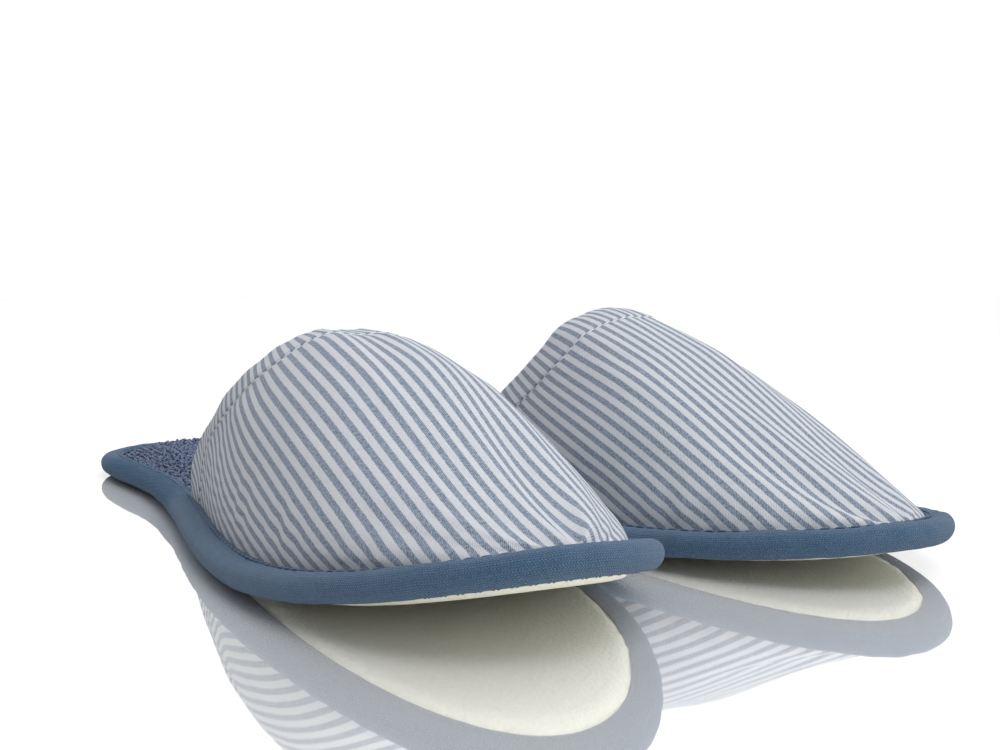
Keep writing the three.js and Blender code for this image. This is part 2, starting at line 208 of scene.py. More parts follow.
def flank_half_width(along):
    narrowing = smoothstep(along, HEEL_RADIUS, WAIST_ALONG)
    widening = smoothstep(along, WAIST_ALONG, BALL_ALONG)
    waist = (WAIST_HALF_WIDTH - HEEL_RADIUS) * narrowing
    return HEEL_RADIUS + waist + (BALL_HALF_WIDTH - WAIST_HALF_WIDTH) * widening


def half_width(along):
    heel = np.sqrt(np.clip(HEEL_RADIUS**2 - (HEEL_RADIUS - along) ** 2, 0, None))
    toe_share = np.clip((along - BALL_ALONG) / (LENGTH - BALL_ALONG), 0, 1)
    toe = BALL_HALF_WIDTH * np.sqrt(1 - toe_share**2)
    flank = flank_half_width(along)
    return np.where(along < HEEL_RADIUS, heel, np.where(along > BALL_ALONG, toe, flank))


def toe_lift(along, side):
    share = np.clip((along - TOE_SPRING_START) / (LENGTH - TOE_SPRING_START), 0, 1)
    return TOE_SPRING[side] * share**TOE_SPRING_POWER


def rim(count):
    """count + 1 stations evenly round the sole's edge, from the heel end and back to it.

    Returns (along, across, the along of the middle point straight in, distance run)."""
    turn = np.linspace(0, math.pi / 2, RIM_ARC_STEPS)
    heel = np.stack([HEEL_RADIUS * (1 - np.cos(turn)), HEEL_RADIUS * np.sin(turn)], 1)
    flank_along = np.linspace(HEEL_RADIUS, BALL_ALONG, RIM_FLANK_STEPS)[1:]
    flank = np.stack([flank_along, flank_half_width(flank_along)], 1)
    toe_reach = LENGTH - BALL_ALONG
    toe = np.stack([BALL_ALONG + toe_reach * np.sin(turn), BALL_HALF_WIDTH * np.cos(turn)], 1)[1:]
    half = np.concatenate([heel, flank, toe])
    loop = np.concatenate([half, half[-2::-1] * (1, -1)])
    run = distance_along(loop)
    stops = np.linspace(0, run[-1], count + 1)
    along = np.interp(stops, run, loop[:, 0])
    across = np.interp(stops, run, loop[:, 1])
    return along, across, np.clip(along, HEEL_RADIUS, BALL_ALONG), stops


def inwards(along, across, middle, inset):
    """Points of the rim moved towards the middle line, or outwards by a negative inset."""
    reach = np.hypot(along - middle, across)
    share = np.minimum(inset / np.maximum(reach, SMALLEST_REACH), 1)
    return along + (middle - along) * share, across * (1 - share)


def heel_end(side):
    turn = math.radians(TURN_DEGREES[side])
    toe_direction = Vector((math.sin(turn), -math.cos(turn)))
    tape = frame["nodes"][f"{side}_binding_tape"]
    return min((v.co for v in tape.data.vertices), key=lambda point: point.xy.dot(toe_direction))


def placed(side, along, across, height):
    """Points of one slipper's own plan, in the shared frame, in metres."""
    turn = math.radians(TURN_DEGREES[side])
    heel = heel_end(side)
    x = across * math.cos(turn) + along * math.sin(turn)
    y = across * math.sin(turn) - along * math.cos(turn)
    return np.stack([heel.x + x * MM, heel.y + y * MM, height * MM + 0 * x], -1)


def waves(first, second, wavelength, seed):
    """Smooth noise from about -1 to 1 over two coordinates in millimetres."""
    own = np.random.default_rng(seed)
    total = 0 * (first + second)
    for _ in range(WAVE_COUNT):
        heading = own.uniform(0, 2 * math.pi)
        pitch = wavelength * own.uniform(*WAVE_RANGE)
        phase = own.uniform(0, 2 * math.pi)
        travel = first * math.cos(heading) + second * math.sin(heading)
        total = total + np.sin(2 * math.pi * travel / pitch + phase)
    return total / math.sqrt(WAVE_COUNT)


# ---------------------------------------------------------------- meshes

def linked(name, data):
    thing = bpy.data.objects.new(name, data)
    bpy.context.scene.collection.objects.link(thing)
    return thing


def finished(mesh_object, side, material, slot, nodes):
    mesh_object.data.materials.append(material)
    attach(mesh_object, f"{side}_slipper")
    if nodes:
        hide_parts(*[f"{side}_{node}" for node in nodes])
    return mesh_object


def grid_quads(rows, columns):
    index = np.arange(rows * columns).reshape(rows, columns)
    corners = (index[:-1, :-1], index[1:, :-1], index[1:, 1:], index[:-1, 1:])
    return np.stack(corners, -1).reshape(-1, 4)


def grid_skin(name, points, uv):
    """A smooth mesh from a grid of points in metres, with a UV map in millimetres of cloth.

    Points that coincide are merged, which closes rings and drops collapsed faces."""
    quads = grid_quads(*points.shape[:2])
    mesh = bpy.data.meshes.new(name)
    mesh.from_pydata(points.reshape(-1, 3).tolist(), [], quads.tolist())
    layer = mesh.uv_layers.new(name="cloth")
    layer.data.foreach_set("uv", uv.reshape(-1, 2)[quads.ravel()].ravel().astype(np.float32))
    cleaner = bmesh.new()
    cleaner.from_mesh(mesh)
    bmesh.ops.remove_doubles(cleaner, verts=cleaner.verts, dist=MERGE_DISTANCE * MM)
    bmesh.ops.dissolve_degenerate(cleaner, edges=cleaner.edges, dist=SHORTEST_EDGE * MM)
    bmesh.ops.recalc_face_normals(cleaner, faces=cleaner.faces)
    cleaner.to_mesh(mesh)
    cleaner.free()
    mesh.shade_smooth()
    return linked(name, mesh)


def many_tubes(name, paths, radius, corners):
    """One mesh of many short tubes. paths is (tube, point, 3) in metres."""
    tubes, points = paths.shape[:2]
    tangent = np.gradient(paths, axis=1)
    tangent /= np.linalg.norm(tangent, axis=2, keepdims=True)
    helper = np.where(np.abs(tangent[..., 2:]) < STEEP, (0.0, 0.0, 1.0), (1.0, 0.0, 0.0))
    first = np.cross(tangent, helper)
    first /= np.linalg.norm(first, axis=2, keepdims=True)
    second = np.cross(tangent, first)
    taper = np.full(points, radius)
    taper[[0, -1]] = radius * TUBE_CAP_SHARE
    turn = np.arange(corners) * 2 * math.pi / corners
    ring = first[:, :, None] * np.cos(turn)[None, None, :, None]
    ring = ring + second[:, :, None] * np.sin(turn)[None, None, :, None]
    vertices = paths[:, :, None] + ring * taper[None, :, None, None]
    index = np.arange(tubes * points * corners).reshape(tubes, points, corners)
    ahead = np.roll(index, -1, axis=2)
    walls = np.stack([index[:, :-1], ahead[:, :-1], ahead[:, 1:], index[:, 1:]], -1).reshape(-1, 4)
    caps = np.concatenate([index[:, 0, ::-1], index[:, -1]])
    mesh = bpy.data.meshes.new(name)
    mesh.from_pydata(vertices.reshape(-1, 3).tolist(), [], walls.tolist() + caps.tolist())
    mesh.shade_smooth()
    return linked(name, mesh)


# ---------------------------------------------------------------- materials

class Shader:
    """A Principled material with short ways to wire number nodes into it."""

    def __init__(self, name, roughness, sheen=0.0):
        self.material = bpy.data.materials.new(name)
        self.material.use_nodes = True
        self.tree = self.material.node_tree
        self.surface = self.tree.nodes["Principled BSDF"]
        self.surface.inputs["Roughness"].default_value = roughness
        self.surface.inputs["Sheen Weight"].default_value = sheen
        self.surface.inputs["Sheen Roughness"].default_value = SHEEN_ROUGHNESS
        self.surface.inputs["Specular IOR Level"].default_value = SPECULAR_LEVEL

    def link(self, value, socket):
        if isinstance(value, bpy.types.NodeSocket):
            self.tree.links.new(value, socket)
        else:
            socket.default_value = value

    def math(self, operation, *values):
        node = self.tree.nodes.new("ShaderNodeMath")
        node.operation = operation
        for value, socket in zip(values, node.inputs):
            self.link(value, socket)
        return node.outputs[0]

    def add(self, first, second):
        return self.math("ADD", first, second)

    def multiply(self, first, second):
        return self.math("MULTIPLY", first, second)

    def spread(self, value, low, high):
        """Stretches the range from 0 to 1 to the range from low to high."""
        return self.math("MULTIPLY_ADD", value, high - low, low)

    def clamped(self, value):
        return self.math("MINIMUM", self.math("MAXIMUM", value, 0.0), 1.0)

    def cloth(self):
        """The two cloth coordinates, in millimetres."""
        coordinates = self.tree.nodes.new("ShaderNodeUVMap")
        coordinates.uv_map = "cloth"
        split = self.tree.nodes.new("ShaderNodeSeparateXYZ")
        self.tree.links.new(coordinates.outputs[0], split.inputs[0])
        return split.outputs[0], split.outputs[1]

    def noise(self, pitch_mm, detail=2.0):
        """Noise from 0 to 1 over the object, with lumps about pitch_mm wide."""
        place = self.tree.nodes.new("ShaderNodeTexCoord")
        node = self.tree.nodes.new("ShaderNodeTexNoise")
        node.inputs["Scale"].default_value = 1 / (pitch_mm * MM)
        node.inputs["Detail"].default_value = detail
        self.tree.links.new(place.outputs["Object"], node.inputs["Vector"])
        return node.outputs["Fac"]

    def mix(self, share, first, second):
        node = self.tree.nodes.new("ShaderNodeMix")
        node.data_type = "RGBA"
        self.link(share, node.inputs["Factor"])
        self.link(first, node.inputs["A"])
        self.link(second, node.inputs["B"])
        return node.outputs["Result"]

    def wave(self, travel, pitch):
        """From 0 to 1 and back once every pitch of travel."""
        turns = self.multiply(travel, 2 * math.pi / pitch)
        return self.math("MULTIPLY_ADD", self.math("SINE", turns), 0.5, 0.5)

    def finish(self, colour, height, bump_mm):
        self.link(colour, self.surface.inputs["Base Color"])
        bump = self.tree.nodes.new("ShaderNodeBump")
        bump.inputs["Distance"].default_value = bump_mm * MM
        self.tree.links.new(height, bump.inputs["Height"])
        self.tree.links.new(bump.outputs[0], self.surface.inputs["Normal"])
        return self.material


def colour(red, green, blue):
    """A colour given as it looks on screen, from 0 to 255."""
    linear = [((c / 255 + 0.055) / 1.055) ** 2.4 for c in (red, green, blue)]
    return (*linear, 1.0)


def shaded(shade, share):
    return colour(*[c * share for c in shade])


STRIPE_BLUE, STRIPE_FLECK = colour(72, 84, 102), colour(148, 158, 173)
GROUND_SHADE, GROUND_WHITE = colour(168, 173, 180), colour(193, 195, 199)
COTTON_CLOUD = colour(140, 148, 160)
# The tape's darkest colour is painted shade, for the hollows of its weave.
TAPE_HOLLOW_SHADE, TAPE_BLUE, TAPE_WORN = colour(10, 40, 72), colour(80, 118, 150), colour(96, 126, 154)
TERRY_DARK, TERRY_BLUE = colour(40, 56, 88), colour(104, 122, 156)
CREAM_SHADE, CREAM = colour(214, 214, 194), colour(238, 237, 222)
FOAM_SHADE, FOAM_WHITE = colour(222, 220, 210), colour(243, 242, 236)
LINING_SHADE, BLUE_THREAD_SHADE, WHITE_THREAD_SHADE = (226, 229, 232), (62, 88, 118), (226, 230, 235)


def striped_cotton():
    """Stripes run along the cloth. Each blue one is flecked where the twill lets white through."""
    shader = Shader("striped_cotton", roughness=0.9, sheen=0.1)
    across, along = shader.cloth()
    wander = shader.spread(shader.noise(pitch_mm=1.0), -STRIPE_WANDER, STRIPE_WANDER)
    stripe = shader.wave(shader.add(across, wander), STRIPE_PERIOD)
    blue_share = shader.clamped(shader.spread(stripe, low=-2.2, high=2.8))
    twill = shader.wave(shader.add(across, along), TWILL_PITCH)
    fleck = shader.noise(pitch_mm=0.4, detail=1.0)
    flecked = shader.spread(fleck, low=-0.6, high=1.0)
    flecked = shader.add(flecked, shader.multiply(twill, 0.5))
    blue = shader.mix(shader.clamped(flecked), STRIPE_BLUE, STRIPE_FLECK)
    white = shader.mix(fleck, GROUND_SHADE, GROUND_WHITE)
    cloth = shader.mix(blue_share, white, blue)
    cloudy = shader.spread(shader.noise(pitch_mm=14), low=-0.03, high=0.11)
    cloth = shader.mix(cloudy, cloth, COTTON_CLOUD)
    weft = shader.wave(along, WEFT_PITCH)
    height = shader.add(shader.multiply(twill, 0.6), shader.multiply(weft, 0.4))
    return shader.finish(cloth, height, bump_mm=0.08)


def herringbone_tape():
    shader = Shader("herringbone_tape", roughness=0.85, sheen=0.15)
    run, over = shader.cloth()
    rib = shader.math("PINGPONG", over, HERRINGBONE_RIB)
    wander = shader.multiply(shader.noise(pitch_mm=1.2), 0.5)
    thread = shader.wave(shader.add(shader.add(run, rib), wander), HERRINGBONE_THREAD)
    crossed = shader.multiply(thread, shader.wave(over, HERRINGBONE_WEFT))
    height = shader.add(crossed, shader.multiply(thread, 0.4))
    # Painted shade: the tape is darker where its threads lie low, in the hollows of the weave, with
    # random tone from the noise on top.
    shade = shader.multiply(shader.add(height, shader.noise(pitch_mm=0.6)), 0.5)
    woven = shader.mix(shade, TAPE_HOLLOW_SHADE, TAPE_BLUE)
    worn = shader.spread(shader.noise(pitch_mm=9), low=-0.12, high=0.38)
    woven = shader.mix(shader.multiply(worn, 0.4), woven, TAPE_WORN)
    return shader.finish(woven, height, bump_mm=0.2)


def terry_cloth():
    shader = Shader("terry_cloth", roughness=0.95, sheen=0.3)
    tuft = shader.noise(pitch_mm=1.4, detail=1.0)
    contrast = shader.clamped(shader.spread(tuft, low=-0.7, high=1.7))
    looped = shader.mix(contrast, TERRY_DARK, TERRY_BLUE)
    return shader.finish(looped, shader.noise(pitch_mm=0.4), bump_mm=0.15)


def cream_outsole():
    shader = Shader("cream_outsole", roughness=0.75)
    pebble = shader.noise(pitch_mm=0.9, detail=3.0)
    cream = shader.mix(pebble, CREAM_SHADE, CREAM)
    return shader.finish(cream, pebble, bump_mm=0.35)


def plain_cloth(name, shade, pitch):
    shader = Shader(name, roughness=0.9, sheen=0.1)
    across, along = shader.cloth()
    weave = shader.multiply(shader.wave(across, pitch), shader.wave(along, pitch))
    tone = shader.mix(weave, shaded(shade, 0.9), colour(*shade))
    return shader.finish(tone, weave, bump_mm=0.08)


def sewing_thread(name, shade):
    shader = Shader(name, roughness=0.6, sheen=0.1)
    fibre = shader.noise(pitch_mm=0.25, detail=2.0)
    tone = shader.mix(fibre, shaded(shade, 0.8), colour(*shade))
    return shader.finish(tone, fibre, bump_mm=0.05)


def hidden_foam():
    shader = Shader("hidden_foam", roughness=0.9)
    cell = shader.noise(pitch_mm=0.8, detail=2.0)
    tone = shader.mix(cell, FOAM_SHADE, FOAM_WHITE)
    return shader.finish(tone, cell, bump_mm=0.1)


COTTON = striped_cotton()
TAPE = herringbone_tape()
TERRY = terry_cloth()
OUTSOLE = cream_outsole()
LINING = plain_cloth("lining_cloth", LINING_SHADE, LINING_PITCH)
BLUE_THREAD = sewing_thread("blue_thread", BLUE_THREAD_SHADE)
WHITE_THREAD = sewing_thread("white_thread", WHITE_THREAD_SHADE)
FOAM = hidden_foam()


# ---------------------------------------------------------------- sole

def ring_skin(name, side, profile, count, wobble=None):
    """Carries a profile of (inset, height) points round the sole."""
    along, across, middle, run = rim(count)
    over = distance_along(np.array(profile))
    points = np.empty((count + 1, len(profile), 3))
    for column, (inset, height) in enumerate(profile):
        push, raise_by = wobble(along, run, inset, over[column]) if wobble else (0.0, 0.0)
        u, v = inwards(along, across, middle, inset + push)
        points[:, column] = placed(side, u, v, height + raise_by + toe_lift(u, side))
    uv = np.stack(np.broadcast_arrays(run[:, None], over[None, :]), -1)
    return grid_skin(name, points, uv)


def lumpy_edge(along, run, inset, over):
    """The moulded sheet's bulge isn't quite even. Returns a push inwards and a rise."""
    near_edge = smoothstep(inset, *LUMPS_FROM) * fade(inset, *LUMPS_TO)
    lump = waves(run, 0 * run + over, LUMP_WAVELENGTH, LUMP_SEED)
    fine = waves(run, 0 * run, FINE_LUMP_WAVELENGTH, FINE_LUMP_SEED)
    return LUMP_HEIGHT * near_edge * (lump + FINE_LUMP_SHARE * fine), 0.0


def outsole(side):
    bulge = [
        (BULGE_START + BULGE_WIDTH * share, EDGE_UNDERSIDE * (1 - share) ** BULGE_POWER)
        for share in np.linspace(0, 1, BULGE_STEPS)
    ]
    flat = [(inset, 0.0) for inset in OUTSOLE_FLAT_INSETS]
    profile = [*OUTSOLE_EDGE, *bulge, *flat, *OUTSOLE_TOP, OUTSOLE_EDGE[0]]
    piece = ring_skin(f"{side}_outsole_skin", side, profile, OUTSOLE_STATIONS, lumpy_edge)
    finished(piece, side, OUTSOLE, "outsole", ["outsole"])


def terry_top(inset):
    return TERRY_EDGE_HEIGHT + TERRY_RISE * smoothstep(inset, *TERRY_RISE_INSETS)


def terry_insole(side):
    edge_insets = np.linspace(TERRY_EDGE_INSET, TERRY_EDGE_TO, TERRY_EDGE_STEPS)
    insets = [*edge_insets, *TERRY_INNER_INSETS]
    top = [(inset, float(terry_top(inset))) for inset in insets]
    profile = [*top, *TERRY_UNDERSIDE, top[0]]
    piece = ring_skin(f"{side}_terry_base", side, profile, TERRY_STATIONS)
    finished(piece, side, TERRY, "terry", ["terry_insole"])
    loops = terry_loops(side)


def terry_loops(side):
    """Loops scattered over the insole, but not under the tape or the upper's wall."""
    along, across = np.meshgrid(
        np.arange(LOOPS_FROM_ALONG, LOOPS_TO_ALONG, LOOP_SPACING),
        np.arange(-LOOPS_ACROSS, LOOPS_ACROSS, LOOP_SPACING), indexing="ij",
    )
    along, across = along.ravel(), across.ravel()
    along = along + random.uniform(-LOOP_SCATTER, LOOP_SCATTER, along.size)
    across = across + random.uniform(-LOOP_SCATTER, LOOP_SCATTER, across.size)
    flank_room = half_width(along) - np.abs(across)
    heel_room = HEEL_RADIUS - np.hypot(along - HEEL_RADIUS, across)
    room = np.where(along < HEEL_RADIUS, heel_room, flank_room)
    end_room = np.minimum(along, LENGTH - along)
    corner = UPPER_SHAPE[side]["corner_along"]
    in_upper = smoothstep(along, corner - UPPER_ROOM_BLEND, corner + UPPER_ROOM_BLEND)
    keep = (room > LOOP_ROOM + UPPER_ROOM * in_upper) & (end_room > LOOP_END_ROOM)
    along, across, room = along[keep], across[keep], room[keep]
    base = terry_top(room) + toe_lift(along, side)
    heading = random.uniform(0, math.pi, along.size)[:, None]
    lean = random.uniform(-LOOP_LEAN, LOOP_LEAN, (2, along.size))[:, :, None]
    tall = random.uniform(*LOOP_TALLNESS, along.size)[:, None] * LOOP_HEIGHT
    turn = np.linspace(0, math.pi, LOOP_POINTS)[None, :]
    out = LOOP_REACH * np.cos(turn)
    up = tall * np.sin(turn)
    u = along[:, None] + out * np.cos(heading) + up * lean[0]
    v = across[:, None] + out * np.sin(heading) + up * lean[1]
    z = base[:, None] - LOOP_SUNK + up
    path = placed(side, u, v, z)
    piece = many_tubes(f"{side}_terry_loops", path, LOOP_WIRE * MM, LOOP_CORNERS)
    return finished(piece, side, TERRY, "terry", [])


def ruffled(along, run, inset, over):
    """The tape's ripples, deep at the waist where it is pushed together. Returns a push and a rise."""
    waist = smoothstep(along, *RUFFLED_FROM) * fade(along, *RUFFLED_TO)
    drift = RIPPLE_DRIFT * waves(run, 0 * run, DRIFT_WAVELENGTH, DRIFT_SEED)
    ripple = waist * np.sin(2 * math.pi * (run + RIPPLE_SLANT * over + drift) / RIPPLE_PITCH)
    slow = waves(run, 0 * run + over, SLOW_WAVELENGTH, SLOW_SEED)
    quick = waves(run, 0 * run + over, QUICK_WAVELENGTH, QUICK_SEED)
    shown = 1.0 if SEEN_OVER[0] < over < SEEN_OVER[1] else UNSEEN_SHARE
    out = RIPPLE_OUT * ripple + QUICK_OUT * quick
    up = RIPPLE_UP * ripple + SLOW_UP * slow + QUICK_UP * quick
    return -out * shown, up * shown


def tape_turn(radius, turn):
    """Section of the tape where it turns round the sole's edge."""
    centre = TAPE_LOW + TAPE_RADIUS
    return [(TAPE_RADIUS + radius * math.cos(t), centre + radius * math.sin(t)) for t in turn]


def binding_tape(side):
    turn = np.radians(np.linspace(270, 90, TAPE_TURN_STEPS))
    start = (TAPE_LEG, TAPE_LOW + TAPE_LIP)
    outside = tape_turn(TAPE_RADIUS, turn)
    upper_leg = [(inset, TAPE_TOP - drop) for inset, drop in TAPE_UPPER_LEG_DROPS]
    inside = tape_turn(TAPE_RADIUS - TAPE_THICKNESS, turn[::-2])
    under_edge = (TAPE_UNDER_EDGE_INSET, TAPE_LOW + TAPE_THICKNESS)
    profile = [start, *TAPE_UNDER_LEG, *outside, *upper_leg, *inside, under_edge, start]
    piece = ring_skin(f"{side}_binding_tape_skin", side, profile, TAPE_STATIONS, ruffled)
    finished(piece, side, TAPE, "tape", ["binding_tape"])


def stitch_stops(whole, length, gap, points):
    """Even stitches over a whole run: a row of distances for each, one for each of its points."""
    count = int(whole / (length + gap))
    starts = np.arange(count) * whole / count
    return starts[:, None] + np.linspace(0, length, points)


def tape_stitches(side, name, height, node):
    along, across, middle, run = rim(STITCH_LINE_STATIONS)
    line = np.stack(inwards(along, across, middle, STITCH_INSET), 1)
    distance = distance_along(line)
    at = stitch_stops(distance[-1], STITCH_LENGTH, STITCH_GAP, len(STITCH_RISE))
    u, v = np.interp(at, distance, line[:, 0]), np.interp(at, distance, line[:, 1])
    z = height + np.array(STITCH_RISE) + toe_lift(u, side)
    path = placed(side, u, v, z)
    piece = many_tubes(f"{side}_{name}", path, THREAD_RADIUS * MM, STITCH_CORNERS)
    finished(piece, side, BLUE_THREAD, "blue_thread", [node])


# ---------------------------------------------------------------- upper

def arch_shares():
    """Shares of the way from the crest (0) to the wall's foot (-1 and 1), close where it is steep."""
    turn = np.linspace(-math.pi / 2, math.pi / 2, COLUMNS)
    return np.sign(turn) * np.abs(np.sin(turn)) ** COLUMN_POWER


def opening_along(side, share):
    shape = UPPER_SHAPE[side]
    lean = shape["crest_along"] - shape["corner_along"]
    return shape["crest_along"] - lean * np.abs(share) ** shape["opening_roundness"]


def upper_end(side):
    return LENGTH - UPPER_SHAPE[side]["wall_inset"] - TOE_GAP


def near_opening(side, along):
    crest_along = UPPER_SHAPE[side]["crest_along"]
    return fade(along, crest_along, crest_along + OPENING_REACH)


def arch_sections(side, along):
    """Half width, crest height and fullness of the arch at each place along the slipper."""
    shape = UPPER_SHAPE[side]
    toe_reach = LENGTH - shape["wall_inset"] - BALL_ALONG
    toe_share = np.clip((along - BALL_ALONG) / toe_reach, 0, 1)
    flank_width = half_width(np.minimum(along, BALL_ALONG)) - shape["wall_inset"]
    width = flank_width * np.sqrt(1 - toe_share**2)
    level_to = shape["crest_along"] + shape["level_reach"]
    fall = np.clip((along - level_to) / (LENGTH - level_to), 0, 1) ** shape["fall_power"]
    crest = shape["crest"] + (shape["crest_at_toe"] - shape["crest"]) * fall
    rounding = (1 - toe_share**TOE_ROUNDNESS) ** (1 / ARCH_FULLNESS)
    crest = WALL_FOOT + (crest - WALL_FOOT) * rounding
    return width, crest, ARCH_FULLNESS + shape["squareness"] * near_opening(side, along)


def folds(along, over, seed, height, wavelength, along_share=1.0, over_share=1.0):
    """Folds of the cloth. A share below 1 draws them out, along the slipper or over its arch."""
    return height * waves(along_share * along, over_share * over, wavelength, seed)


def wrinkle(side, along, share, from_opening):
    """How far the cloth stands out from its plain arch, in millimetres."""
    seed = WRINKLE_SEED[side]
    over = ARCH_SPAN * share
    share = np.abs(share)
    broad = folds(along, over, seed, height=0.5, wavelength=34, along_share=0.45)
    small = folds(along, over, seed + 1, height=0.14, wavelength=13, along_share=0.35)
    gathers = folds(along, over, seed + 2, height=0.2, wavelength=8, over_share=0.3)
    gathers = gathers * smoothstep(share, *FOOT_SPAN)
    tucks = folds(along, over, seed + 3, height=0.55, wavelength=15, over_share=0.6)
    tucks = tucks * fade(from_opening, *TUCKS_FADE) * smoothstep(share, *CORNER_SPAN)
    crease = CREASE_HEIGHT * np.exp(-(((share - CREASE_SHARE) / CREASE_SPREAD) ** 2))
    crease = crease * fade(from_opening, *CREASE_FADE)
    held = HELD_FOLD_SHARE + (1 - HELD_FOLD_SHARE) * fade(share, *HELD_SPAN)
    return (broad + small + gathers + tucks + crease) * held


def arch_points(side, along, share, depth, wrinkled):
    """Points of the upper at a depth under its outer face."""
    width, crest, fullness = arch_sections(side, along)
    width = np.maximum(width - depth, 0)
    rise = np.maximum(crest - depth - WALL_FOOT, 0)
    up = np.clip(1 - np.abs(share) ** fullness, 0, 1) ** (1 / fullness)
    across = share * width
    height = WALL_FOOT + rise * up
    bulge_share = np.clip((np.abs(share) - BULGE_FROM_SHARE) / (1 - BULGE_FROM_SHARE), 0, 1)
    bulge = np.sin(math.pi * bulge_share) * near_opening(side, along)
    across = across + UPPER_SHAPE[side]["bulge"] * np.sign(share) * bulge
    if wrinkled:
        out = wrinkle(side, along, share, along - opening_along(side, share))
        sideways = share**2 * np.minimum(1, width / FREE_FOLD_WIDTH)
        across = across + out * np.sign(share) * sideways
        height = height + out * (1 - np.abs(share) ** 3)
    return placed(side, along, across, height + toe_lift(along, side))


def upper_grid(side, rows, first_set_in):
    """Places on the upper from a distance behind the opening's edge to the toe."""
    share = arch_shares()
    start = opening_along(side, share) + first_set_in
    ramp = np.sin(np.linspace(0, math.pi / 2, rows)) ** ROW_POWER
    along = start + (upper_end(side) - start) * ramp[:, None]
    return along, np.broadcast_to(share, along.shape)


def edge_lengths(points):
    """The length of all edges of a grid of points together."""
    down = np.linalg.norm(np.diff(points, axis=0), axis=-1).sum()
    return down + np.linalg.norm(np.diff(points, axis=1), axis=-1).sum()


def unwrapped(points):
    """Flat coordinates of a grid of points, with as little stretch as Blender can manage."""
    quads = grid_quads(*points.shape[:2])
    mesh = bpy.data.meshes.new("panel")
    mesh.from_pydata(points.reshape(-1, 3).tolist(), [], quads.tolist())
    mesh.uv_layers.new(name="cloth")
    panel = linked("panel", mesh)
    bpy.context.view_layer.objects.active = panel
    panel.select_set(True)
    bpy.ops.object.mode_set(mode="EDIT")
    bpy.ops.mesh.select_all(action="SELECT")
    bpy.ops.uv.unwrap(method="MINIMUM_STRETCH", margin=0.0)
    bpy.ops.object.mode_set(mode="OBJECT")
    corner_uv = np.empty(2 * len(mesh.loops), np.float32)
    mesh.uv_layers[0].data.foreach_get("uv", corner_uv)
    bpy.data.objects.remove(panel)
    flat = np.empty((len(mesh.vertices), 2))
    flat[quads.ravel()] = corner_uv.reshape(-1, 2)
    return flat.reshape(*points.shape[:2], 2)


def flat_cloth(side):
    """Lays the plain arch out flat, as the panel was cut: the stripes run straight on that panel.

    Returns the places it was laid out at and their cloth coordinates in millimetres."""
    along, share = upper_grid(side, PANEL_ROWS, 0.0)
    points = arch_points(side, along, share, 0.0, wrinkled=False)
    flat = unwrapped(points)
    flat *= edge_lengths(points) / MM / edge_lengths(flat)
    crest = COLUMNS // 2
    flat -= flat[0, crest].copy()
    heading = flat[-1, crest] / np.linalg.norm(flat[-1, crest])
    along_cloth = flat @ heading
    across_cloth = flat @ (heading[1], -heading[0])
    across_cloth *= np.sign(across_cloth[0, -1])
    return along, across_cloth, along_cloth


def cloth_at(panel, along):
    """The cloth coordinates at other places along the panel's columns."""
    laid_along, across_cloth, along_cloth = panel
    uv = np.empty((*along.shape, 2))
    for column in range(COLUMNS):
        places = laid_along[:, column]
        uv[:, column, 0] = np.interp(along[:, column], places, across_cloth[:, column])
        uv[:, column, 1] = np.interp(along[:, column], places, along_cloth[:, column])
    return uv


def upper_layer(side, panel, name, grid, depth, look):
    """The cloth or the lining of the upper."""
    along, share = grid
    points = arch_points(side, along, share, depth, wrinkled=True)
    uv = cloth_at(panel, along)
    piece = grid_skin(f"{side}_{name}", points, uv)
    finished(piece, side, *look)


def upper_fabric(side, panel):
    grid = upper_grid(side, CLOTH_ROWS, BAND_WIDTH - CLOTH_UNDER_BAND)
    look = (COTTON, "striped_cotton", ["upper_fabric", "upper_wadding"])
    upper_layer(side, panel, "upper_cloth", grid, 0.0, look)


def upper_lining(side, panel):
    grid = upper_grid(side, LINING_ROWS, LINING_SET_IN)
    look = (LINING, "lining", ["upper_lining"])
    upper_layer(side, panel, "lining_cloth", grid, LINING_DEPTH, look)


def band_profile():
    """The band's section: its outer face, the fold at the opening and its inner face."""
    fold = BAND_DEPTH / 2
    outer = [(BAND_WIDTH - from_edge, depth) for from_edge, depth in BAND_EDGE]
    face_insets = np.linspace(BAND_WIDTH - BAND_FACE_START, fold, BAND_FACE_STEPS)
    outer += [(set_in, -BAND_PROUD) for set_in in face_insets]
    turn = np.radians(np.linspace(90, -90, BAND_FOLD_STEPS)[1:-1])
    fold_arc = [
        (fold - fold * math.cos(t), fold - BAND_PROUD - fold * math.sin(t)) for t in turn
    ]
    inner_insets = np.linspace(fold, BAND_WIDTH, BAND_INNER_STEPS)
    inner = [(set_in, BAND_DEPTH - BAND_PROUD) for set_in in inner_insets]
    return np.array([*outer, *fold_arc, *inner])


def opening_band(side, panel):
    """The band's stripes lie half a period beside those of the upper, as it is a strip of its own."""
    profile = band_profile()
    set_in, depth = profile[:, :1], profile[:, 1:]
    share = arch_shares()
    edge = opening_along(side, share)
    share = np.broadcast_to(share, (len(profile), COLUMNS))
    points = arch_points(side, edge + set_in, share, depth, wrinkled=True)
    unrolled = BAND_WIDTH - distance_along(profile)[:, None]
    uv = cloth_at(panel, edge + np.maximum(unrolled, 0))
    uv[..., 0] += STRIPE_PERIOD / 2
    uv[..., 1] += np.minimum(unrolled, 0)
    piece = grid_skin(f"{side}_opening_band_cloth", points, uv)
    finished(piece, side, COTTON, "striped_cotton", ["opening_band"])


